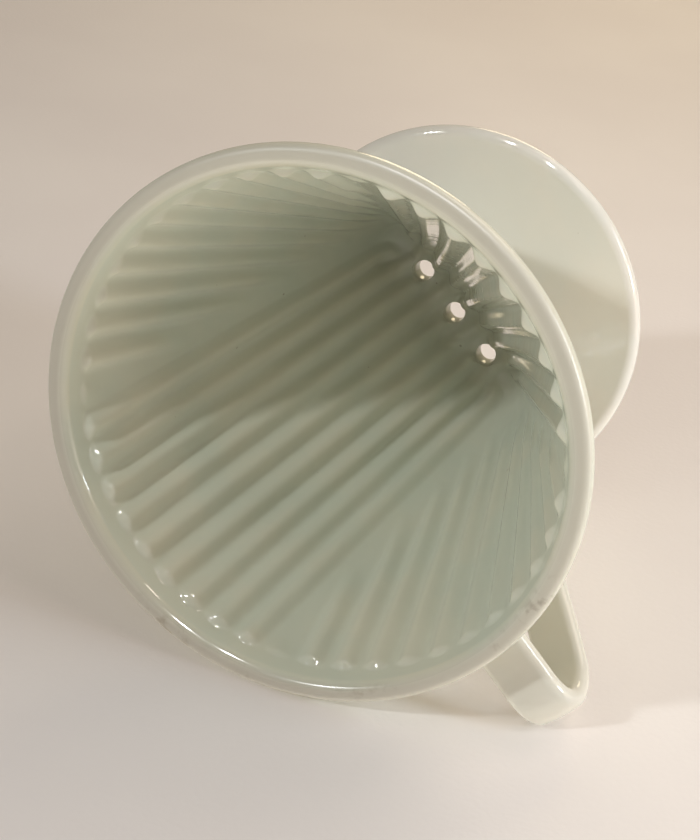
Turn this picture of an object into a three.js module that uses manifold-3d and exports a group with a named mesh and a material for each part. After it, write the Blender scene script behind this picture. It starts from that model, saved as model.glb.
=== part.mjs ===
// Porcelain pour-over coffee dripper for wedge-bottomed filter papers.
//
// A cone whose mouth is round and whose floor is a narrow slot stands on a dished saucer. The
// saucer rests on a cup, and a collar under it keeps it centred. A strap handle loops out from
// the cone in line with the slot. Inside, raised ribs hold the paper off the wall, and three
// holes in the slot's floor let the coffee drip.
//
// Millimetres, +Z up, foot of the collar at Z = 0. The cone's axis is parallel to Z and stands
// AXIS_X off the origin, so that the origin is under the middle of the whole footprint. The
// slot runs along X and the handle points along -X.

import * as THREE from 'three';
import { ConvexGeometry } from 'three/addons/geometries/ConvexGeometry.js';
import { mergeVertices } from 'three/addons/utils/BufferGeometryUtils.js';
import Module from 'manifold-3d';

// ---- Driving dimensions -------------------------------------------------------------------

const GAP = 0.3;                  // clearance where one piece is seated on another

const SEAT_Z = 6.3;               // underside of the saucer, where a cup's rim touches
const REBATE = 0.5;               // inside the seat everything sits this much higher
const BASE_Z = SEAT_Z + REBATE;   // underside of the cone

const COLLAR_R = 31;              // locating collar, outer radius
const COLLAR_WALL = 4.5;
const COLLAR_H = BASE_Z - GAP;
const COLLAR_EDGE = 0.8;          // bevel of its lower edges

const FLOOR_Z = 11;               // slot floor inside the cone
const DEPTH = 100;                // slot floor to rim
const RIM_Z = FLOOR_Z + DEPTH;

const RIM_R = 60;                 // mouth, outer radius
const RIM_WALL = 4.2;             // wall at the mouth
const RIM_ROUND = 1.2;            // rounding of the rim's outer edge
const LAND_R = 57;                // the flat land on the rim ends here
const LAND_EDGE = 1.5;            // depth of the sloping edge inside the land
const LAND_SLOPE = 1.5;           // its run towards the axis, over its depth

const SLOT_HALF = 21.3;           // half of the slot's straight part
const SLOT_R = 4.5;               // radius of the slot's round ends
const SLOT_FLOOR_R = 2.9;         // and of its floor, below the rounding
const SLOT_ROUND = 2.5;           // height of that rounding
const WALL = 4.5;                 // wall at the slot

const HOLE_R = 2.5;               // drip holes
const HOLE_PITCH = 13.1;

const RIB_COUNT = 44;
const FACE_STEPS = 4;             // ribs on each side of a broad face's middle rib
const RIB_TIP_DEPTH = 4.4;        // top of the ribs, below the rim
const RIB_FOOT_DEPTH = 97;        // foot of the longest ribs, below the rim
const RIB_R = 2.1;                // radius of the bar that makes a rib
const RIB_RISE = 1.5;             // how far a rib stands out of the wall
const RIB_BLUNT = 0.6;            // radius of its tip, over RIB_R
const RIB_TAPER = 0.8;            // spread of the face ribs at the slot, over that at the mouth
const RIB_CLEAR = 5.6;            // end ribs stop this far from the outermost face rib
const RIB_SIDES = 8;

const SAUCER_R = 47.4;            // saucer, outer radius
const SAUCER_EDGE = 2.2;          // radius of its rounded lip
const SAUCER_LIP_Z = 11.7;        // middle of the lip
const SAUCER_FLAT_R = 38;         // flat seat under the saucer reaches this far out
const SAUCER_SLOPE_R = 41;        // end of the slope outside the seat
const SAUCER_SLOPE = 0.9;         // rise of that slope
const SAUCER_DISH = [             // dished top face, [radius, height]
  [40, 11.9], [32, 10.6], [24, 10.2], [0, 10.2],
];

const STRAP_W = 12.4;             // handle strap, across the loop
const STRAP_T = 4.4;              // handle strap, in the loop's plane
const STRAP_ROUND = 2.1;          // rounding of its edges
const HANDLE_REACH = 82;          // cone's axis to the outermost point of the loop
const HANDLE_ROUTE = [            // middle of the strap, [short of its furthest point, below rim]
  [29.8, 14.9], [13.8, 14.7], [5.6, 14.9], [1.5, 17.2], [0, 21.5],
  [1.6, 28.2], [5.4, 33.5], [19.8, 47.9], [34.8, 62.9],
];

const AXIS_X = (HANDLE_REACH - RIM_R) / 2;

const CIRCLE_STEPS = 64;          // facets round the mouth and the saucer

// ---- Booleans -----------------------------------------------------------------------------

const wasm = await Module();
wasm.setup();

function solid(geometry) {
  geometry.deleteAttribute('normal');
  geometry.deleteAttribute('uv');
  const merged = mergeVertices(geometry, 1e-4);
  return new wasm.Manifold(new wasm.Mesh({
    numProp: 3,
    vertProperties: new Float32Array(merged.attributes.position.array),
    triVerts: new Uint32Array(merged.index.array),
  }));
}

function geometryOf(manifold) {
  const mesh = manifold.getMesh();
  const geometry = new THREE.BufferGeometry();
  geometry.setAttribute('position', new THREE.BufferAttribute(mesh.vertProperties, 3));
  geometry.setIndex(new THREE.BufferAttribute(mesh.triVerts, 1));
  geometry.computeVertexNormals();
  return geometry;
}

// ---- Outlines -----------------------------------------------------------------------------

function circlePoints(radius, z, steps = CIRCLE_STEPS) {
  return Array.from({ length: steps }, (_, i) => {
    const a = (i / steps) * 2 * Math.PI;
    return new THREE.Vector3(radius * Math.cos(a), radius * Math.sin(a), z);
  });
}

// A slot along X: two half circles of this radius about (+-half, 0).
function slotPoints(half, radius, z, steps = CIRCLE_STEPS / 4) {
  return circlePoints(radius, z, steps).flatMap((p) => {
    const middle = Math.abs(p.x) < 1e-6;
    const sides = middle ? [-1, 1] : [Math.sign(p.x)];
    return sides.map((side) => new THREE.Vector3(p.x + side * half, p.y, z));
  });
}

// A surface of revolution about Z from a profile of [radius, z] pairs.
function turned(profile, steps = CIRCLE_STEPS) {
  const points = profile.map(([radius, z]) => new THREE.Vector2(radius, z));
  return solid(new THREE.LatheGeometry(points, steps).rotateX(Math.PI / 2));
}

// ---- The cone -----------------------------------------------------------------------------

// The cone's outside as a solid wedge, larger by grow on every side and longer by extra below.
function coneOutside(grow = 0, extra = 0) {
  const top = RIM_Z + grow;
  return solid(new ConvexGeometry([
    ...circlePoints(RIM_R - RIM_ROUND + grow, top),
    ...circlePoints(RIM_R - RIM_ROUND * 0.3 + grow, top - RIM_ROUND * 0.3),
    ...circlePoints(RIM_R + grow, top - RIM_ROUND),
    ...circlePoints(RIM_R + grow, top - RIM_ROUND * 2),
    ...slotPoints(SLOT_HALF, SLOT_R + WALL + grow, BASE_Z),
    ...slotPoints(SLOT_HALF, SLOT_R + WALL + grow, BASE_Z - extra),
  ]));
}

// Inside, the section at a fraction t of the depth is a slot whose straight half is SLOT_HALF * t.
const insideRadius = (t) => THREE.MathUtils.lerp(RIM_R - RIM_WALL, SLOT_R, t);
const insideHalf = (t) => SLOT_HALF * t;

function coneInside() {
  const above = -RIM_ROUND / DEPTH;
  const round = 1 - SLOT_ROUND / DEPTH;
  const hollow = solid(new ConvexGeometry([
    ...circlePoints(insideRadius(above), RIM_Z - DEPTH * above),
    ...slotPoints(insideHalf(round), insideRadius(round), FLOOR_Z + SLOT_ROUND),
    ...slotPoints(SLOT_HALF, SLOT_FLOOR_R, FLOOR_Z),
  ]));
  const landEdge = solid(new ConvexGeometry([
    ...circlePoints(LAND_R + LAND_EDGE * LAND_SLOPE, RIM_Z + LAND_EDGE),
    ...circlePoints(LAND_R - LAND_EDGE * LAND_SLOPE, RIM_Z - LAND_EDGE),
  ]));
  return hollow.add(landEdge);
}

// Points of a rib's centre line on the wall, at depth fraction t.
function onFace(t, x, side) {
  const past = Math.max(Math.abs(x) - insideHalf(t), 0);
  return [x, side * Math.sqrt(insideRadius(t) ** 2 - past ** 2)];
}

function onRay(t, angle) {
  const across = Math.sin(angle) * insideHalf(t);
  const along = Math.abs(Math.cos(angle)) * insideHalf(t);
  const reach = along + Math.sqrt(insideRadius(t) ** 2 - across ** 2);
  return [reach * Math.cos(angle), reach * Math.sin(angle)];
}

const RIB_STEP = (2 * Math.PI) / RIB_COUNT;
const TIP_T = RIB_TIP_DEPTH / DEPTH;
const FOOT_T = RIB_FOOT_DEPTH / DEPTH;

function faceRibX(stepsFromMiddle, t) {
  const atTip = insideRadius(TIP_T) * Math.sin(stepsFromMiddle * RIB_STEP);
  return atTip * THREE.MathUtils.mapLinear(t, TIP_T, 1, 1, RIB_TAPER);
}

// An end rib runs in a plane through the axis until it comes close to the outermost face rib.
function endRibFoot(angle) {
  const steps = 100;
  for (let i = 1; i <= steps; i += 1) {
    const t = THREE.MathUtils.lerp(TIP_T, FOOT_T, i / steps);
    if (Math.abs(onRay(t, angle)[0]) < faceRibX(FACE_STEPS, t) + RIB_CLEAR) return t;
  }
  return FOOT_T;
}

// A rib is a bar of round section, sunk in the wall, with a blunt tip near the rim.
function ribBar(pointAt, footT, segments) {
  const disc = (t, radius) => {
    const [x, y] = pointAt(t);
    const reach = Math.hypot(x, y);
    const sunk = 1 + (RIB_R - RIB_RISE) / reach;
    return circlePoints(radius, RIM_Z - DEPTH * t, RIB_SIDES)
      .map((p) => p.add(new THREE.Vector3(x * sunk, y * sunk, 0)));
  };
  const levels = Array.from({ length: segments + 1 }, (_, i) => (
    disc(THREE.MathUtils.lerp(TIP_T + RIB_R / DEPTH, footT, i / segments), RIB_R)
  ));
  const tip = disc(TIP_T, RIB_R * RIB_BLUNT);
  return levels.slice(1).map((lower, i) => (
    solid(new ConvexGeometry([...levels[i], ...lower, ...(i === 0 ? tip : [])]))
  ));
}

function ribs() {
  const quarter = RIB_COUNT / 4;
  return Array.from({ length: RIB_COUNT }, (_, i) => {
    const angle = i * RIB_STEP;
    const side = i < RIB_COUNT / 2 ? 1 : -1;
    const fromMiddle = (i % (RIB_COUNT / 2)) - quarter;
    if (Math.abs(fromMiddle) <= FACE_STEPS) {
      const x = (t) => -side * faceRibX(fromMiddle, t);
      return ribBar((t) => onFace(t, x(t), side), FOOT_T, 1);
    }
    return ribBar((t) => onRay(t, angle), endRibFoot(angle), 2);
  }).flat();
}

function filterCone() {
  let cone = coneOutside().subtract(coneInside());
  ribs().forEach((rib) => { cone = cone.add(rib); });
  cone = cone.intersect(coneOutside());
  for (const x of [-HOLE_PITCH, 0, HOLE_PITCH]) {
    const drill = new THREE.CylinderGeometry(HOLE_R, HOLE_R, 4 * WALL, 24);
    drill.rotateX(Math.PI / 2).translate(x, 0, BASE_Z);
    cone = cone.subtract(solid(drill));
  }
  return geometryOf(cone);
}

// ---- The saucer ---------------------------------------------------------------------------

function saucer() {
  const lipR = SAUCER_R - SAUCER_EDGE;
  const lip = (degrees) => {
    const a = THREE.MathUtils.degToRad(degrees);
    return [lipR + SAUCER_EDGE * Math.cos(a), SAUCER_LIP_Z + SAUCER_EDGE * Math.sin(a)];
  };
  const plate = turned([
    [0, BASE_Z],
    [COLLAR_R + GAP, BASE_Z],
    [COLLAR_R + GAP, SEAT_Z],
    [SAUCER_FLAT_R, SEAT_Z],
    [SAUCER_SLOPE_R, SEAT_Z + SAUCER_SLOPE],
    ...[-60, -20, 20, 60, 100].map(lip),
    ...SAUCER_DISH,
  ]);
  return geometryOf(plate.subtract(coneOutside(GAP, WALL)));
}

// ---- The collar ---------------------------------------------------------------------------

function collar() {
  const inner = COLLAR_R - COLLAR_WALL;
  return geometryOf(turned([
    [inner + COLLAR_EDGE, 0],
    [COLLAR_R - COLLAR_EDGE, 0],
    [COLLAR_R, COLLAR_EDGE],
    [COLLAR_R, COLLAR_H],
    [inner, COLLAR_H],
    [inner, COLLAR_EDGE],
    [inner + COLLAR_EDGE, 0],
  ]));
}

// ---- The handle ---------------------------------------------------------------------------

function handle() {
  const furthest = HANDLE_REACH - STRAP_T / 2;
  const route = new THREE.CatmullRomCurve3(HANDLE_ROUTE.map(([short, depth]) => (
    new THREE.Vector3(short - furthest, 0, RIM_Z - depth)
  )));

  const w = STRAP_W / 2;
  const t = STRAP_T / 2;
  const r = STRAP_ROUND;
  const section = new THREE.Shape();
  section.absarc(w - r, t - r, r, 0, Math.PI / 2);
  section.absarc(r - w, t - r, r, Math.PI / 2, Math.PI);
  section.absarc(r - w, r - t, r, Math.PI, Math.PI * 1.5);
  section.absarc(w - r, r - t, r, Math.PI * 1.5, Math.PI * 2);

  const strap = solid(new THREE.ExtrudeGeometry(section, {
    steps: 28, curveSegments: 3, extrudePath: route,
  }));
  return geometryOf(strap.subtract(coneOutside(GAP)));
}

// ---- Assembly -----------------------------------------------------------------------------

function piece(name, geometry, color) {
  const glaze = new THREE.MeshStandardMaterial({ color, roughness: 0.18, metalness: 0 });
  const mesh = new THREE.Mesh(geometry, glaze);
  mesh.name = name;
  return mesh;
}

const dripper = new THREE.Group();
dripper.position.x = AXIS_X;
dripper.add(
  piece('filter_cone', filterCone(), 0xd9d8c6),
  piece('saucer', saucer(), 0xdcdac8),
  piece('locating_collar', collar(), 0xd6d4c1),
  piece('handle', handle(), 0xdedbc9),
);

export default dripper;
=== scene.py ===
"""Glazed porcelain pour-over dripper: fine surfaces, glaze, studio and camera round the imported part.

Lengths are in millimetres until mesh_object() turns them into metres. The cone's axis is parallel
to Z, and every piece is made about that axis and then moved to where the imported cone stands.
"""

import math

import bmesh
import bpy
import numpy as np
from mathutils import Matrix, Vector


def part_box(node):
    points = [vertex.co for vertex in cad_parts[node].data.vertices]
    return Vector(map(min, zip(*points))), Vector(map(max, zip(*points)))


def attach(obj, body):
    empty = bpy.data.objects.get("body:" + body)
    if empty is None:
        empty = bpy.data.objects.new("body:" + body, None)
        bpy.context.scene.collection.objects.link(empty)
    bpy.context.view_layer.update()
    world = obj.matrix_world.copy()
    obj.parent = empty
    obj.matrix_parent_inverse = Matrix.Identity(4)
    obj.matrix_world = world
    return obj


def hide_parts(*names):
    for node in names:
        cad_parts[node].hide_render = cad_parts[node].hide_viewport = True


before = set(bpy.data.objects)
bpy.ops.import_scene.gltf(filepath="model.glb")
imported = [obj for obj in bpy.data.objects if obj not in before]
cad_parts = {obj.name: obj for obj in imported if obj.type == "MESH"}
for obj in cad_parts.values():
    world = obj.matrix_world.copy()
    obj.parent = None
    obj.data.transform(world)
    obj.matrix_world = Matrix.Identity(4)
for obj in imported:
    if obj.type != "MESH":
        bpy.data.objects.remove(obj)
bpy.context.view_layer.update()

MM = 0.001
SHARP = math.radians(50)  # edges with a sharper bend than this keep their crease
HALVINGS = 40             # steps of a search that halves its interval

# ---- Driving dimensions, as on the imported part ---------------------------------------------

SEAT_Z = 6.3              # underside of the saucer
BASE_Z = 6.8              # underside of the cone, a little higher
FLOOR_Z = 11.0            # slot floor inside the cone
DEPTH = 100.0             # slot floor to rim
RIM_Z = FLOOR_Z + DEPTH
RIM_R = 60.0              # mouth, outer radius
RIM_WALL = 4.2
LAND_R = 57.0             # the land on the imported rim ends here
SLOT_HALF = 21.3          # half of the slot's straight part
SLOT_R = 4.5              # radius of the slot's round ends
WALL = 4.5                # wall at the slot
HOLE_R = 2.5
HOLE_PITCH = 13.1

RIB_COUNT = 44
FACE_STEPS = 4            # ribs on each side of a broad face's middle rib
RIB_TIP_DEPTH = 4.4
RIB_FOOT_DEPTH = 97.0
RIB_RISE = 1.7
RIB_TAPER = 0.8           # spread of the face ribs at the slot, over that at the mouth
RIB_CLEAR = 5.6           # end ribs stop this far from the outermost face rib
RIB_HALF_W = 3.6          # half of a rib's base, near the mouth

SAUCER_R = 47.4
SAUCER_EDGE = 2.2
SAUCER_LIP_Z = 11.7
SAUCER_FLAT_R = 38.0
SAUCER_TOP_Z = 10.2
SAUCER_FLAT_TOP = 22.0    # the top face starts to rise here
SAUCER_ROOT = 5.0         # reach of the fillet between the saucer and the cone

COLLAR_R = 31.0
COLLAR_WALL = 4.5
COLLAR_EDGE = 1.0
COLLAR_GAP = 0.3          # between the collar and the step in the saucer's underside

STRAP_W = 12.4
STRAP_T = 4.4
STRAP_DOME = 0.25         # its faces are this much thicker in the middle
HANDLE_REACH = 82.0
HANDLE_ROUTE = [          # middle of the strap: short of its furthest point, and below the rim
    (29.8, 14.9), (13.8, 14.7), (5.6, 14.9), (1.5, 17.2), (0.0, 21.5),
    (1.6, 28.2), (5.4, 33.5), (19.8, 47.9), (34.8, 62.9),
]

cone_low, cone_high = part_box("filter_cone")
AXIS = Vector(((cone_low.x + cone_high.x) / 2, (cone_low.y + cone_high.y) / 2, 0))

# ---- Camera --------------------------------------------------------------------------------

LENS = 77.1
CAMERA_AZIMUTH = math.radians(4.6)
CAMERA_ELEVATION = math.radians(61.66)
CAMERA_ROLL = math.radians(-130.47)
CAMERA_DISTANCE = 366.5
AIM_RIGHT, AIM_UP = 9.5, 3.5       # from the middle of the mouth, across the picture

turn = (
    Matrix.Rotation(CAMERA_AZIMUTH, 3, "Z")
    @ Matrix.Rotation(math.pi / 2 - CAMERA_ELEVATION, 3, "X")
    @ Matrix.Rotation(CAMERA_ROLL, 3, "Z")
)
VIEW_RIGHT, VIEW_UP, VIEW_BACK = turn.col[0], turn.col[1], turn.col[2]
mouth = AXIS + Vector((0, 0, RIM_Z * MM))
aim = mouth + (VIEW_RIGHT * AIM_RIGHT + VIEW_UP * AIM_UP) * MM

camera = bpy.data.objects.new("camera", bpy.data.cameras.new("camera"))
camera.data.lens = LENS
camera.data.sensor_width = 36.0
camera.data.clip_start = 0.01
camera.matrix_world = Matrix.Translation(aim + VIEW_BACK * CAMERA_DISTANCE * MM) @ turn.to_4x4()
bpy.context.scene.collection.objects.link(camera)
bpy.context.scene.camera = camera

# ---- Mesh helpers --------------------------------------------------------------------------


def mesh_object(name, points, faces, attributes=None):
    """An object from points in millimetres about the cone's axis."""
    mesh = bpy.data.meshes.new(name)
    placed = np.asarray(points, float) * MM + np.array(AXIS)
    mesh.from_pydata(placed.tolist(), [], [tuple(map(int, f)) for f in faces])
    for key, values in (attributes or {}).items():
        layer = mesh.attributes.new(key, "FLOAT", "POINT")
        layer.data.foreach_set("value", np.asarray(values, np.float32))
    mesh.validate()
    obj = bpy.data.objects.new(name, mesh)
    bpy.context.scene.collection.objects.link(obj)
    return obj


def grid_faces(rows, columns, close_rows=False):
    """Quads of a grid whose columns run round a loop."""
    last = rows if close_rows else rows - 1
    i, j = np.meshgrid(np.arange(last), np.arange(columns), indexing="ij")
    here, beside = i * columns + j, i * columns + (j + 1) % columns
    below = ((i + 1) % rows) * columns
    quads = np.stack([here, beside, below + (j + 1) % columns, below + j], -1)
    return quads.reshape(-1, 4)


def bend(start, corner, end, steps):
    """A rounded corner: a quadratic curve between two points of any dimension."""
    u = np.linspace(0, 1, steps)[:, None]
    start, corner, end = (np.asarray(p, float) for p in (start, corner, end))
    return start * (1 - u) ** 2 + corner * 2 * u * (1 - u) + end * u**2


def line(start, end, steps):
    """Evenly spaced points on a straight line, its ends left out."""
    u = np.linspace(0, 1, steps + 2)[1:-1, None]
    return np.asarray(start, float) * (1 - u) + np.asarray(end, float) * u


def column_quarters(columns):
    """Each column's place in its quarter (0 on a broad side, 1 on an end), and the quarter's signs."""
    quarter = np.arange(columns) * 4.0 / columns
    index = quarter.astype(int)
    share = np.where(index % 2 == 0, quarter - index, 1 - (quarter - index))
    return share, np.where(index < 2, 1, -1), np.where((index == 0) | (index == 3), 1, -1)


def slot_outline(half, radius, columns, share=None):
    """Points round slots (or circles, where half is 0) and their outward directions.

    half and radius have one value per row. Columns start in the middle of the +Y side and are
    evenly spaced unless their share of each quarter is given.
    """
    half = np.asarray(half, float)[:, None]
    radius = np.asarray(radius, float)[:, None]
    even, side_x, side_y = column_quarters(columns)
    along = (even if share is None else share) * (half + radius * math.pi / 2)
    angle = np.clip((along - half) / np.maximum(radius, 1e-9), 0, math.pi / 2)
    x = np.where(along < half, along, half + radius * np.sin(angle))
    y = radius * np.cos(angle)
    outward = np.stack([side_x * np.sin(angle), side_y * np.cos(angle)], -1)
    return np.stack([side_x * x, side_y * y], -1), outward


# ---- The wall's shape ----------------------------------------------------------------------

OUTER_TOP_Z = RIM_Z - 2.4         # the cone's straight outside ends here


def inside(t):
    """Half length and radius of the inside's section at a fraction t of the depth."""
    t = np.asarray(t, float)
    return SLOT_HALF * t, (RIM_R - RIM_WALL) * (1 - t) + SLOT_R * t


def outside(z):
    """Half length and radius of the outside's section at a height."""
    s = np.clip((OUTER_TOP_Z - np.asarray(z, float)) / (OUTER_TOP_Z - BASE_Z), 0, 1)
    return SLOT_HALF * s, RIM_R * (1 - s) + (SLOT_R + WALL) * s


# ---- Ribs ----------------------------------------------------------------------------------

RIB_STEP = 2 * math.pi / RIB_COUNT
END_STEPS = RIB_COUNT // 4
TIP_T = RIB_TIP_DEPTH / DEPTH
FOOT_T = RIB_FOOT_DEPTH / DEPTH
FACE_FOOT_T = 1.015               # face ribs sink into the slot's floor here
CROSSING_STEPS = (1, 3)           # face ribs that run on across the slot's floor
TIP_BLUNT = 1.6                   # how much shorter a tip's rounding is than the rib's half width
END_RIB_HALF_W = 3.5
END_RIB_RISE = 1.1                # height of the rib in the middle of each end
END_RIB_TAPER = 15.0              # end ribs sink into the wall over this length
RIB_SHARE = 0.48                  # most of a rib's pitch that half of its base takes
RIB_PROFILE = 1.7                 # power of the cosine that shapes a rib's section
RIB_THINNING = 0.8                # power of the width that sets a narrow rib's height
SLANT = DEPTH * 1.13              # length of the wall's slope
LEAST_MARGIN = 2.0                # face columns stay this far from the middle of an end
LEAST_SPREAD = 0.15               # share of the end that its columns spread over at least
COLUMNS_PER_RIB = 11
CONE_COLUMNS = RIB_COUNT * COLUMNS_PER_RIB


def face_rib_x(step, t):
    at_tip = inside(np.minimum(t, TIP_T))[1] * np.sin(step * RIB_STEP)
    return at_tip * np.interp(t, [TIP_T, 1], [1, RIB_TAPER])


def end_rib_x(step, t):
    half, radius = inside(t)
    across, ahead = np.cos(step * RIB_STEP), np.sin(step * RIB_STEP)
    return ahead * (ahead * half + np.sqrt(np.maximum(radius**2 - (across * half) ** 2, 0)))


def along_outline(x, half, radius):
    """Distance along a section from the middle of a broad side to a given x."""
    past = np.clip((x - half) / np.maximum(radius, 1e-9), 0, 1)
    return np.where(x < half, x, half + radius * np.arcsin(past))


def end_rib_along(step, t):
    return along_outline(end_rib_x(step, t), *inside(t))


def rib_pitch(step, t):
    """Spacing of the ribs along the section, for each depth."""
    if step <= FACE_STEPS:
        return face_rib_x(1, t)
    other = step - 1 if step > FACE_STEPS + 1 else step + 1
    return np.abs(end_rib_along(step, t) - end_rib_along(other, t))


def rib_foot(step):
    """Where a rib ends: end ribs stop when they come close to the outermost face rib."""
    if step in CROSSING_STEPS:
        return 2.0
    if step <= FACE_STEPS:
        return FACE_FOOT_T
    t = np.linspace(TIP_T, FOOT_T, 101)
    near = end_rib_x(step, t) < face_rib_x(FACE_STEPS, t) + RIB_CLEAR
    return t[np.argmax(near)] if near.any() else FOOT_T


def rib_height(t, along):
    """Height of the ribs over the wall at depth fractions t (rows) and distances along (columns)."""
    total = np.zeros_like(along)
    on_wall = np.minimum(t, 1)
    for step in range(END_STEPS + 1):
        pitch = rib_pitch(step, on_wall)
        on_face = step <= FACE_STEPS
        half_w = np.minimum(RIB_HALF_W if on_face else END_RIB_HALF_W, RIB_SHARE * pitch)
        foot = rib_foot(step)
        taper = 1 if on_face else np.clip((foot - t) * SLANT / END_RIB_TAPER, 0, 1)[:, None]
        place = along[:, step * COLUMNS_PER_RIB] if on_face else end_rib_along(step, on_wall)
        tip_length = half_w / TIP_BLUNT
        before_tip = np.maximum(TIP_T + tip_length / SLANT - t, 0) * SLANT * TIP_BLUNT
        past_end = before_tip + np.maximum(t - foot + half_w / SLANT, 0) * SLANT * on_face
        away = np.hypot(along - place[:, None], past_end[:, None]) / half_w[:, None]
        full_rise = np.interp(step, [FACE_STEPS, END_STEPS], [RIB_RISE, END_RIB_RISE])
        rise = full_rise * (half_w / RIB_HALF_W)[:, None] ** RIB_THINNING
        bump = rise * taper * np.cos(np.minimum(away, 1) * math.pi / 2) ** RIB_PROFILE
        total = np.maximum(total, bump)
    return total


def rib_columns(t, steps):
    """Share of each quarter at which columns cross the inside's sections, to run along the ribs."""
    t, steps = t[:, None], steps[None, :]
    half, radius = inside(t)
    length = half + radius * math.pi / 2
    last = FACE_STEPS + 0.5
    edge = np.minimum(along_outline(face_rib_x(last, t), half, radius), length - LEAST_MARGIN)
    face = np.minimum(along_outline(face_rib_x(np.minimum(steps, last), t), half, radius), edge)
    ray = along_outline(end_rib_x(steps, t), half, radius)
    even = edge + LEAST_SPREAD * (steps - last) / (END_STEPS - last) * (length - edge)
    return np.where(steps <= last, face, np.maximum(ray, even)) / length


def floor_columns(rows, wall_end, share):
    """The same for the slot's floor: columns keep their x as the section narrows."""
    half, radius = wall_end[:2]
    plan, _ = slot_outline([half], [radius], CONE_COLUMNS, share)
    x = np.abs(plan[..., 0])
    narrowing = 1 - (rows[:, :1] + rows[:, 1:2]) / (half + radius)
    x = x * (1 - narrowing * (x / (half + radius)) ** 2)
    return along_outline(x, rows[:, :1], rows[:, 1:2]) / (rows[:, :1] + rows[:, 1:2] * math.pi / 2)


# ---- The cone ------------------------------------------------------------------------------

LAND_OUT, LAND_IN = 58.1, 57.5    # the rim's flat crest runs between these
RIM_BEND_Z = RIM_Z - 2.2          # the outside starts to round into the rim
RIM_INSIDE_R = LAND_R - 1.2       # corner that the rim's inner rounding follows
WALL_TOP_T = 0.02
RIB_TOP_T = 0.12                  # rows are closer together down to here, where the tips are
WALL_END_T = 0.955                # below this the wall rounds into the slot's floor
FLOOR_CORNER = 0.3                # the corner of that rounding is this far inside the slot's radius
BARE_ROWS = [-13, -6, 0, 8]       # rows from the crest's inner edge where the bare band fades


def cone_rows():
    """Rows (half, radius, z) up the outside and over the rim, then down the inside's wall and floor."""
    under = line((SLOT_HALF, 0, BASE_Z), (SLOT_HALF, SLOT_R + WALL, BASE_Z), 3)
    z = np.linspace(BASE_Z, OUTER_TOP_Z, 26)
    outer = np.column_stack([*outside(z), z])
    rim_out = bend((0, RIM_R, RIM_BEND_Z), (0, RIM_R, RIM_Z), (0, LAND_OUT, RIM_Z), 10)
    land = line((0, LAND_OUT, RIM_Z), (0, LAND_IN, RIM_Z), 2)
    t = np.concatenate([
        np.linspace(WALL_TOP_T, RIB_TOP_T, 34),
        np.linspace(RIB_TOP_T, WALL_END_T, 84)[1:],
    ])
    wall = np.column_stack([*inside(t), RIM_Z - t * DEPTH])
    rim_in = bend((0, LAND_IN, RIM_Z), (0, RIM_INSIDE_R, RIM_Z), wall[0], 11)[:-1]
    first = [(SLOT_HALF, 0, BASE_Z)]
    outer_rows = np.concatenate([first, under, outer, rim_out, land, rim_in])
    floor = bend(wall[-1], (SLOT_HALF, SLOT_R - FLOOR_CORNER, FLOOR_Z), (SLOT_HALF, 0, FLOOR_Z), 15)[1:]
    from_land = np.arange(len(outer_rows)) - len(outer_rows) + len(rim_in)
    bare = np.interp(from_land, BARE_ROWS, [0, 1, 1, 0])
    return outer_rows, wall, floor, t, bare


def drill(x):
    """A spool-shaped cutter, so that the hole's edges come out rounded."""
    flare, above, beyond = 0.6, 0.3, 2.0
    mouth_z = FLOOR_Z + above
    angles = np.radians(np.linspace(0, 82, 7))
    arc = np.column_stack([HOLE_R + flare * (1 - np.cos(angles)), flare * np.sin(angles)])
    top = [(r, mouth_z - flare + z) for r, z in arc]
    bottom = [(r, BASE_Z + flare - z) for r, z in arc][::-1]
    reach = HOLE_R + flare
    profile = [(reach, BASE_Z - beyond), *bottom, *top, (reach, mouth_z + beyond)]
    columns = 48
    a = np.arange(columns) * 2 * math.pi / columns
    points = [(x + r * math.cos(v), r * math.sin(v), z) for r, z in profile for v in a]
    faces = [tuple(f) for f in grid_faces(len(profile), columns)]
    faces.append(tuple(range(columns))[::-1])
    faces.append(tuple(range(len(points) - columns, len(points))))
    return mesh_object("drill", points, faces)


def outward(obj):
    """Turns every face of a closed mesh outward."""
    shape = bmesh.new()
    shape.from_mesh(obj.data)
    bmesh.ops.remove_doubles(shape, verts=shape.verts, dist=1e-6)
    bmesh.ops.recalc_face_normals(shape, faces=shape.faces)
    if shape.calc_volume(signed=True) < 0:
        bmesh.ops.reverse_faces(shape, faces=shape.faces)
    shape.to_mesh(obj.data)
    shape.free()


def shade(obj):
    """Smooth shading with creases at the sharp edges."""
    obj.data.shade_smooth()
    obj.data.set_sharp_from_angle(angle=SHARP)


def cut(obj, cutters):
    """Subtracts the cutters from an object and removes them."""
    for cutter in cutters:
        outward(cutter)
        boolean = obj.modifiers.new("cut", "BOOLEAN")
        boolean.operation, boolean.solver, boolean.object = "DIFFERENCE", "MANIFOLD", cutter
    graph = bpy.context.evaluated_depsgraph_get()
    mesh = bpy.data.meshes.new_from_object(obj.evaluated_get(graph))
    obj.modifiers.clear()
    obj.data = mesh
    for cutter in cutters:
        bpy.data.objects.remove(cutter)


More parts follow.
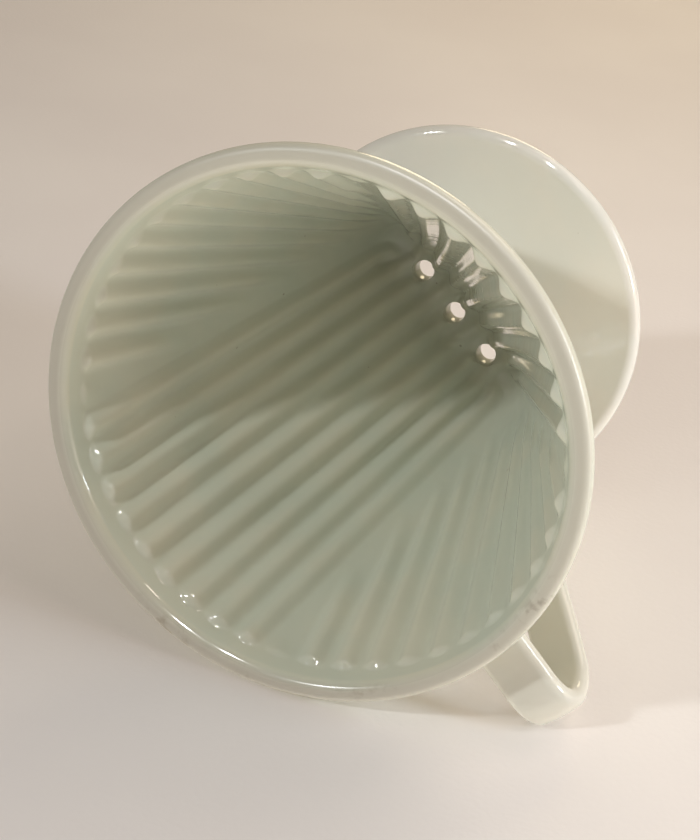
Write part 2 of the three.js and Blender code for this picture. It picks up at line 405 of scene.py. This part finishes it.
def make_cone():
    outer_rows, wall, floor, t, bare = cone_rows()
    share, _, _ = column_quarters(CONE_COLUMNS)
    on_wall = rib_columns(t, share * END_STEPS)
    on_floor = floor_columns(floor, wall[-1], on_wall[-1:])
    rows = np.concatenate([outer_rows, wall, floor])
    shares = np.concatenate([np.tile(share, (len(outer_rows), 1)), on_wall, on_floor])
    plan, facing = slot_outline(rows[:, 0], rows[:, 1], CONE_COLUMNS, shares)

    path = np.cumsum(np.linalg.norm(np.diff(np.vstack([wall[-1:], floor])[:, 1:], axis=0), axis=1))
    ribbed = slice(len(outer_rows), len(rows))
    height = np.zeros(shares.shape)
    along = shares[ribbed] * (rows[ribbed, :1] + rows[ribbed, 1:2] * math.pi / 2)
    height[ribbed] = rib_height(np.concatenate([t, t[-1] + path / SLANT]), along)
    down = np.gradient(rows, axis=0)
    inward = -(down[:, 1, None] + down[:, 0, None] * np.abs(facing[..., 0]))
    normal = np.concatenate([facing * down[:, 2, None, None], inward[..., None]], -1)
    normal[-1] = (0, 0, 1)
    normal /= np.maximum(np.linalg.norm(normal, axis=-1, keepdims=True), 1e-9)
    points = np.concatenate([plan, np.broadcast_to(rows[:, 2, None, None], plan.shape[:2] + (1,))], -1)
    points = points + normal * height[..., None]
    # Inside, away from the rib crests, the glaze is tinted greener and darker: painted shade in the valleys
    # between ribs.
    off_crest_shade = np.zeros(shares.shape)
    off_crest_shade[ribbed] = 1 - height[ribbed] / RIB_RISE
    attributes = {
        "off_crest_shade": off_crest_shade.ravel(),
        "bare": np.repeat(np.concatenate([bare, np.zeros(len(wall) + len(floor))]), CONE_COLUMNS),
    }
    cone = mesh_object("cone_body", points.reshape(-1, 3), grid_faces(*shares.shape), attributes)
    outward(cone)
    cut(cone, [drill(x) for x in (-HOLE_PITCH, 0, HOLE_PITCH)])
    shade(cone)
    return cone


# ---- The saucer ----------------------------------------------------------------------------

SAUCER_COLUMNS = 320
UNDER_CORNER_R = 43.0             # corner between the seat and the slope under the lip
UNDER_END = (45.6, 9.2)           # radius and height where that slope meets the lip
LIP_ANGLES = (-50, 105)           # arc of the lip, in degrees from level
DISH_POWER = 1.6


def saucer_top(radius, lip):
    """Height of the dished top face at a distance from the axis; lip is where the lip starts."""
    rise = np.clip((radius - SAUCER_FLAT_TOP) / (lip[0] - SAUCER_FLAT_TOP), 0, 1)
    return SAUCER_TOP_Z + (lip[1] - SAUCER_TOP_Z) * rise**DISH_POWER


def make_saucer():
    lip_r = SAUCER_R - SAUCER_EDGE
    under = line((SLOT_HALF, SLOT_R + WALL, BASE_Z), (0, COLLAR_R, BASE_Z), 8)
    step = [(0, COLLAR_R + COLLAR_GAP, BASE_Z), (0, COLLAR_R + COLLAR_GAP, SEAT_Z)]
    turn_up = bend((0, SAUCER_FLAT_R, SEAT_Z), (0, UNDER_CORNER_R, SEAT_Z), (0, *UNDER_END), 12)
    angles = np.radians(np.linspace(*LIP_ANGLES, 18))
    lip = np.column_stack([
        np.zeros(len(angles)),
        lip_r + SAUCER_EDGE * np.cos(angles),
        SAUCER_LIP_Z + SAUCER_EDGE * np.sin(angles),
    ])
    half, radius = (float(v) for v in outside(SAUCER_TOP_Z))
    fillet_top = SAUCER_TOP_Z + SAUCER_ROOT
    sunk = 0.02
    wall_half, wall_radius = (float(v) for v in outside(fillet_top))
    fillet = bend(
        (half, radius + SAUCER_ROOT, SAUCER_TOP_Z),
        (half, radius, SAUCER_TOP_Z),
        (wall_half, wall_radius - sunk, fillet_top),
        12,
    )
    top = line((0, lip[-1][1], SAUCER_TOP_Z), fillet[0], 36)
    first = [(SLOT_HALF, SLOT_R + WALL, BASE_Z)]
    rows = np.concatenate([first, under, step, turn_up, lip, top, fillet])
    plan, _ = slot_outline(rows[:, 0], rows[:, 1], SAUCER_COLUMNS)
    z = np.tile(rows[:, 2, None], (1, SAUCER_COLUMNS))
    dished = slice(len(rows) - len(fillet) - len(top), len(rows) - len(fillet))
    z[dished] = saucer_top(np.linalg.norm(plan[dished], axis=-1), lip[-1][1:])
    joined = saucer_top(np.linalg.norm(plan[-len(fillet)], axis=-1), lip[-1][1:]) - SAUCER_TOP_Z
    z[-len(fillet):] += joined * np.linspace(1, 0, len(fillet))[:, None]
    points = np.concatenate([plan, z[..., None]], -1)
    saucer = mesh_object("saucer_body", points.reshape(-1, 3), grid_faces(*z.shape, close_rows=True))
    outward(saucer)
    shade(saucer)
    return saucer


# ---- The collar ----------------------------------------------------------------------------


def make_collar():
    inner = COLLAR_R - COLLAR_WALL
    edge, crease, fillet, foot = COLLAR_EDGE, 0.3, 1.5, 0.15
    columns = 160
    profile = np.concatenate([
        bend((COLLAR_R - edge, 0), (COLLAR_R, 0), (COLLAR_R, edge), 7),
        bend((COLLAR_R, BASE_Z - crease), (COLLAR_R, BASE_Z), (COLLAR_R - crease, BASE_Z), 3),
        bend((inner - fillet, BASE_Z), (inner, BASE_Z), (inner, BASE_Z - fillet), 7),
        bend((inner, edge), (inner, 0), (inner + edge, 0), 7),
    ])
    plan, _ = slot_outline(np.zeros(len(profile)), profile[:, 0], columns)
    z = np.tile(profile[:, 1, None, None], (1, columns, 1))
    points = np.concatenate([plan, z], -1)
    bare = np.repeat((profile[:, 1] < foot).astype(float), columns)
    faces = grid_faces(len(profile), columns, close_rows=True)
    collar = mesh_object("collar_body", points.reshape(-1, 3), faces, {"bare": bare})
    outward(collar)
    shade(collar)
    return collar


# ---- The handle ----------------------------------------------------------------------------

ROOT = 4.0                        # reach of the fillets where the strap grows out of the wall
ROOT_CLEAR = 1.0                  # the strap's own rings end this much further out than ROOT
ROOT_SINK = 0.05                  # the fillet's last ring lies this deep in the wall
ROOT_CLOSE = 1.2                  # and the ring that closes it this much deeper


def catmull(points, steps):
    """Points evenly spaced along a smooth curve through the given ones."""
    p = np.asarray(points, float)
    p = np.concatenate([[2 * p[0] - p[1]], p, [2 * p[-1] - p[-2]]])
    u = np.linspace(0, 1, 24, endpoint=False)[:, None]
    dense = [
        0.5 * (2 * b + (c - a) * u + (2 * a - 5 * b + 4 * c - d) * u**2 + (3 * b - a - 3 * c + d) * u**3)
        for a, b, c, d in zip(p, p[1:], p[2:], p[3:])
    ]
    dense = np.concatenate([*dense, p[-2:-1]])
    length = np.concatenate([[0], np.cumsum(np.linalg.norm(np.diff(dense, axis=0), axis=1))])
    even = np.linspace(0, length[-1], steps)
    return np.column_stack([np.interp(even, length, dense[:, k]) for k in (0, 1)])


def strap_section():
    """Outline of the strap, (across, through) pairs: full round edges and slightly domed faces."""
    r = STRAP_T / 2
    edge = STRAP_W / 2 - r
    a = np.radians(np.linspace(-90, 90, 15))
    right = np.column_stack([edge + r * np.cos(a), r * np.sin(a)])
    x = np.linspace(edge, -edge, 10)[1:-1]
    face = np.column_stack([x, r + STRAP_DOME * (1 - (x / edge) ** 2)])
    return np.concatenate([right, face, -right, -face])


def wall_gap(points):
    """How far points stand outside the cone's outer wall, measured level."""
    half, radius = outside(points[:, 2])
    past = np.maximum(np.abs(points[:, 0]) - half, 0)
    return np.hypot(past, points[:, 1]) - radius


def to_wall(start, direction):
    """Where lines from outside meet the wall."""
    low, high = np.zeros(len(start)), np.full(len(start), RIM_R)
    for _ in range(HALVINGS):
        middle = (low + high) / 2
        out = wall_gap(start + direction * middle[:, None]) > 0
        low, high = np.where(out, middle, low), np.where(out, high, middle)
    return start + direction * low[:, None]


def wall_normal(points):
    step = 0.01
    base = wall_gap(points)
    slopes = [(wall_gap(points + np.eye(3)[k] * step) - base) / step for k in range(3)]
    normal = np.column_stack(slopes)
    return normal / np.linalg.norm(normal, axis=1, keepdims=True)


def root_rings(ring, direction, outwards):
    """Rings that carry the strap's last ring to the wall with a fillet, and end just under it."""
    direction = np.broadcast_to(direction, ring.shape)
    landing = to_wall(ring, direction)
    normal = wall_normal(landing)
    spread = outwards - normal * np.sum(outwards * normal, 1, keepdims=True)
    spread /= np.linalg.norm(spread, axis=1, keepdims=True)
    rings = []
    for angle in np.radians(np.linspace(0, 90, 10)):
        ring_now = landing + spread * ROOT * (1 - math.cos(angle)) - direction * ROOT * (1 - math.sin(angle))
        sink = wall_gap(ring_now) * math.sin(angle) ** 6 * (angle > 1.2)
        rings.append(ring_now - wall_normal(ring_now) * sink[:, None])
    rings[-1] = rings[-1] - normal * ROOT_SINK
    rings.append(rings[-1] - normal * ROOT_CLOSE - spread)
    return rings


def make_handle():
    furthest = HANDLE_REACH - STRAP_T / 2
    route = catmull([(furthest - short, RIM_Z - depth) for short, depth in HANDLE_ROUTE], 100)
    tangent = np.gradient(route, axis=0)
    tangent /= np.linalg.norm(tangent, axis=1, keepdims=True)
    across_loop = np.column_stack([-tangent[:, 1], tangent[:, 0]])
    section = strap_section()
    edge = np.roll(section, -1, axis=0) - np.roll(section, 1, axis=0)
    facing = np.column_stack([edge[:, 1], -edge[:, 0]])
    facing /= np.linalg.norm(facing, axis=1, keepdims=True)

    def lifted(pairs, k):
        reach = pairs[:, 1, None] * across_loop[k]
        return np.column_stack([-reach[:, 0], pairs[:, 0], reach[:, 1]])

    def way(k, sign):
        return np.array([-tangent[k, 0], 0, tangent[k, 1]]) * sign

    rings = [lifted(section, k) + np.array([-route[k, 0], 0, route[k, 1]]) for k in range(len(route))]
    clear = [k for k, ring in enumerate(rings) if wall_gap(ring).min() > ROOT + ROOT_CLEAR]
    first, last = clear[0], clear[-1]
    top = root_rings(rings[first], way(first, -1), lifted(facing, first))
    bottom = root_rings(rings[last], way(last, 1), lifted(facing, last))
    rings = [*top[::-1], *rings[first:last + 1], *bottom]
    points = np.concatenate(rings)
    count = len(section)
    faces = [tuple(f) for f in grid_faces(len(rings), count)]
    faces.append(tuple(range(count))[::-1])
    faces.append(tuple(range(len(points) - count, len(points))))
    handle = mesh_object("handle_strap", points, faces)
    outward(handle)
    shade(handle)
    return handle


# ---- Materials -----------------------------------------------------------------------------


class Nodes:
    """A short way to add and join shader nodes."""

    def __init__(self, name):
        self.material = bpy.data.materials.new(name)
        self.material.use_nodes = True
        self.tree = self.material.node_tree
        self.tree.nodes.clear()
        self.output = self.tree.nodes.new("ShaderNodeOutputMaterial")

    def add(self, kind, settings=None, **inputs):
        node = self.tree.nodes.new("ShaderNode" + kind)
        for key, value in (settings or {}).items():
            setattr(node, key, value)
        for key, value in inputs.items():
            self.put(node, key.replace("_", " "), value)
        return node

    def put(self, node, key, value):
        socket = node.inputs[int(key) if key.isdigit() else key]
        if isinstance(value, bpy.types.NodeSocket):
            self.tree.links.new(value, socket)
        else:
            socket.default_value = value

    def noise(self, where, scale, detail=3.0, roughness=0.5):
        node = self.add("TexNoise", Scale=scale, Detail=detail, Roughness=roughness)
        self.tree.links.new(where, node.inputs["Vector"])
        return node.outputs["Fac"]

    def spread(self, value, low, high, to_low=0.0, to_high=1.0):
        """Maps a value from one range to another, smoothly and clamped."""
        node = self.add("MapRange", {"interpolation_type": "SMOOTHSTEP"})
        for key, number in zip(("From Min", "From Max", "To Min", "To Max"), (low, high, to_low, to_high)):
            node.inputs[key].default_value = number
        self.tree.links.new(value, node.inputs["Value"])
        return node.outputs["Result"]

    def math(self, operation, a, b):
        node = self.add("Math", {"operation": operation})
        self.put(node, "0", a)
        self.put(node, "1", b)
        return node.outputs[0]

    def mix(self, factor, a, b):
        node = self.add("Mix", {"data_type": "RGBA"})
        for key, value in (("Factor", factor), ("A", a), ("B", b)):
            sockets = [s for s in node.inputs if s.name == key and s.enabled]
            if isinstance(value, bpy.types.NodeSocket):
                self.tree.links.new(value, sockets[0])
            else:
                sockets[0].default_value = value
        return next(s for s in node.outputs if s.enabled)

    def attribute(self, name):
        return self.add("Attribute", {"attribute_name": name}).outputs["Fac"]


IVORY = (0.70, 0.69, 0.57, 1)
CELADON = (0.60, 0.66, 0.57, 1)
BISCUIT = (0.67, 0.65, 0.55, 1)
# Bare rim colour on its darker side: partly wear, partly painted shade.
WORN_AND_SHADED = (0.48, 0.45, 0.38, 1)
STAIN = (0.24, 0.19, 0.12, 1)


# Every piece gets a copy of the same glaze; the last argument scales its colours, and a lighter copy is
# painted light.
def glaze(name, green=0.55, painted_light_tone=(1.0, 1.0, 1.0)):
    n = Nodes(name)
    where = n.add("TexCoord").outputs["Object"]
    bare = n.attribute("bare")
    off_crest_shade = n.attribute("off_crest_shade")
    cloud = n.spread(n.noise(where, 45.0), 0.35, 0.65)
    light, dark = ([c * k for c, k in zip(colour, painted_light_tone)] + [1] for colour in (IVORY, CELADON))
    tint = n.mix(n.math("MULTIPLY", cloud, green), light, dark)
    # Painted shade: greener and darker away from the rib crests.
    tint = n.mix(n.math("MULTIPLY", off_crest_shade, 0.35), tint, CELADON)
    speck = n.spread(n.noise(where, 500.0, 1.0), 0.81, 0.84)
    tint = n.mix(n.math("MULTIPLY", speck, 0.5), tint, STAIN)
    patch = n.spread(n.noise(where, 28.0), 0.50, 0.68)
    mark = n.spread(n.noise(where, 330.0, 4.0), 0.50, 0.66)
    # The bare rim band grows about 30 % darker towards +Y: partly wear, partly painted shade on the side
    # that gets less light.
    shaded_side = n.spread(n.add("SeparateXYZ", Vector=where).outputs["Y"], -0.06, 0.065)
    body = n.mix(shaded_side, BISCUIT, WORN_AND_SHADED)
    body = n.mix(n.math("MULTIPLY", n.math("MULTIPLY", patch, mark), 0.5), body, STAIN)
    colour = n.mix(bare, tint, body)
    rough = n.spread(n.noise(where, 120.0), 0.3, 0.7, 0.03, 0.08)
    rough = n.math("MAXIMUM", rough, n.math("MULTIPLY", bare, 0.42))
    grain = n.math("MULTIPLY", n.noise(where, 2600.0, 2.0), n.math("MULTIPLY", bare, 0.25))
    ripple = n.math("ADD", n.noise(where, 160.0, 2.0), grain)
    bump = n.add("Bump", Strength=0.2, Distance=0.00025, Height=ripple)
    shader = n.add("BsdfPrincipled", Base_Color=colour, Normal=bump.outputs["Normal"])
    shader.inputs["IOR"].default_value = 1.52
    n.put(shader, "Roughness", rough)
    n.tree.links.new(shader.outputs[0], n.output.inputs["Surface"])
    return n.material


def dress(obj, material, node):
    obj.data.materials.clear()
    obj.data.materials.append(material)
    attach(obj, "root")
    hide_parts(node)


dress(make_cone(), glaze("cone glaze"), "filter_cone")
# The saucer's copy is painted about 9 % lighter and bluer: painted light on the same glaze.
dress(make_saucer(), glaze("saucer glaze", 0.3, (1.09, 1.06, 1.16)), "saucer")
dress(make_collar(), glaze("collar glaze"), "locating_collar")
dress(make_handle(), glaze("handle glaze", 0.25, (1.0, 0.98, 1.04)), "handle")

# ---- Table ---------------------------------------------------------------------------------

TABLE_R = 1.3                     # in metres
RIM_ROUND = 1.2                   # in millimetres: the rim touches the table this far below its top


def table_plane():
    """The plane that the dripper lies on: its normal and how far it is from the origin.

    It touches the mouth's edge, the saucer's lip and the handle, as when the part is laid down.
    """
    rim_r, rim_z = RIM_R * MM, (RIM_Z - RIM_ROUND) * MM
    lip_r, lip_z = SAUCER_R * MM, SAUCER_LIP_Z * MM
    lean = math.atan2(rim_r - lip_r, rim_z - lip_z)
    handle = np.array([v.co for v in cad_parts["handle"].data.vertices])
    low, high = math.radians(10), math.radians(90)
    for _ in range(HALVINGS):
        aside = (low + high) / 2
        down = Vector((-math.cos(aside), math.sin(aside), 0))
        normal = -down * math.cos(lean) + Vector((0, 0, math.sin(lean)))
        level = normal.dot(AXIS + Vector((0, 0, rim_z))) - rim_r * math.cos(lean)
        sunk = (handle @ np.array(normal)).min() < level
        low, high = (aside, high) if sunk else (low, aside)
    return normal, level


TABLE_UP, TABLE_LEVEL = table_plane()


def table_material():
    n = Nodes("table")
    where = n.add("TexCoord").outputs["Object"]
    cloud = n.spread(n.noise(where, 6.0), 0.3, 0.7)
    colour = n.mix(cloud, (0.775, 0.73, 0.715, 1), (0.825, 0.785, 0.765, 1))
    weave = n.noise(where, 700.0, 2.0)
    bump = n.add("Bump", Strength=0.3, Distance=0.0002, Height=weave)
    paper = n.add("BsdfPrincipled", Base_Color=colour, Roughness=0.6, Normal=bump.outputs["Normal"])
    away = n.add("VectorMath", {"operation": "LENGTH"})
    n.tree.links.new(where, away.inputs[0])
    edge = n.spread(away.outputs["Value"], TABLE_R * 0.6, TABLE_R * 0.97)
    behind = n.add("NewGeometry").outputs["Backfacing"]
    hidden = n.math("MAXIMUM", edge, behind)
    mix = n.add("MixShader", Fac=hidden)
    n.tree.links.new(paper.outputs[0], mix.inputs[1])
    n.tree.links.new(n.add("BsdfTransparent").outputs[0], mix.inputs[2])
    n.tree.links.new(mix.outputs[0], n.output.inputs["Surface"])
    return n.material


def make_table():
    columns = 96
    a = np.arange(columns) * 2 * math.pi / columns
    ring = [(TABLE_R * math.cos(v), TABLE_R * math.sin(v), 0) for v in a]
    mesh = bpy.data.meshes.new("table")
    mesh.from_pydata(ring, [], [tuple(range(columns))])
    mesh.materials.append(table_material())
    obj = bpy.data.objects.new("table", mesh)
    foot = mouth + TABLE_UP * (TABLE_LEVEL - TABLE_UP.dot(mouth))
    obj.matrix_world = Matrix.Translation(foot) @ TABLE_UP.to_track_quat("Z", "Y").to_matrix().to_4x4()
    obj.visible_shadow = False
    bpy.context.scene.collection.objects.link(obj)


make_table()

# ---- Light ---------------------------------------------------------------------------------


def lamp(name, direction, distance, size, power, colour):
    """A round soft light that looks at the middle of the mouth from a direction.

    Lamps called spark make reflections only.
    """
    light = bpy.data.lights.new(name, "AREA")
    light.shape, light.size = "DISK", size
    light.energy, light.color = power, colour
    obj = bpy.data.objects.new(name, light)
    toward = Vector(direction).normalized()
    obj.location = mouth + toward * distance
    obj.rotation_mode = "QUATERNION"
    obj.rotation_quaternion = toward.to_track_quat("Z", "Y")
    obj.visible_diffuse = not name.startswith("spark")
    bpy.context.scene.collection.objects.link(obj)


def seen(right, up, back):
    """A direction given as the camera sees it."""
    return VIEW_RIGHT * right + VIEW_UP * up + VIEW_BACK * back


LAMPS = [
    # name, direction, distance, size, watts as (red, green, blue)
    ("window", seen(-0.665, 0.308, 0.681), 1.2, 0.09, (4.55, 4.75, 4.8)),
    ("right_low", seen(0.92, 0.0, 0.35), 0.7, 0.12, (1.21, 1.35, 1.49)),
    ("right_mid", seen(0.85, 0.25, 0.35), 0.45, 0.1, (0.26, 0.29, 0.32)),
    ("front_right", seen(0.45, 0.5, 0.6), 0.45, 0.05, (0.11, 0.09, 0.08)),
    ("back_right", seen(0.6, 0.75, 0.05), 0.5, 0.3, (0.53, 0.46, 0.39)),
    ("through", seen(0.3, 0.75, -0.6), 0.8, 0.3, (1.1, 0.9, 0.6)),
    ("warm_right", seen(0.95, -0.1, 0.25), 0.5, 0.4, (0.9, 0.78, 0.66)),
    ("spark_low", seen(0.05, 0.45, 0.89), 1.2, 0.06, (8, 8, 8)),
    ("spark_high", seen(-0.15, 0.62, 0.77), 1.2, 0.06, (8, 8, 8)),
    ("behind", -TABLE_UP + Vector((0, 0, 0.5)), 1.0, 0.8, (4, 3.8, 3.4)),
]
for name, direction, distance, size, power in LAMPS:
    lamp(name, direction, distance, size, max(power), [c / max(power) for c in power])

world = bpy.data.worlds.new("studio")
world.use_nodes = True
world.node_tree.nodes["Background"].inputs["Color"].default_value = (1.0, 0.85, 0.69, 1)
world.node_tree.nodes["Background"].inputs["Strength"].default_value = 0.235
bpy.context.scene.world = world
bpy.context.scene.view_settings.view_transform = "Standard"
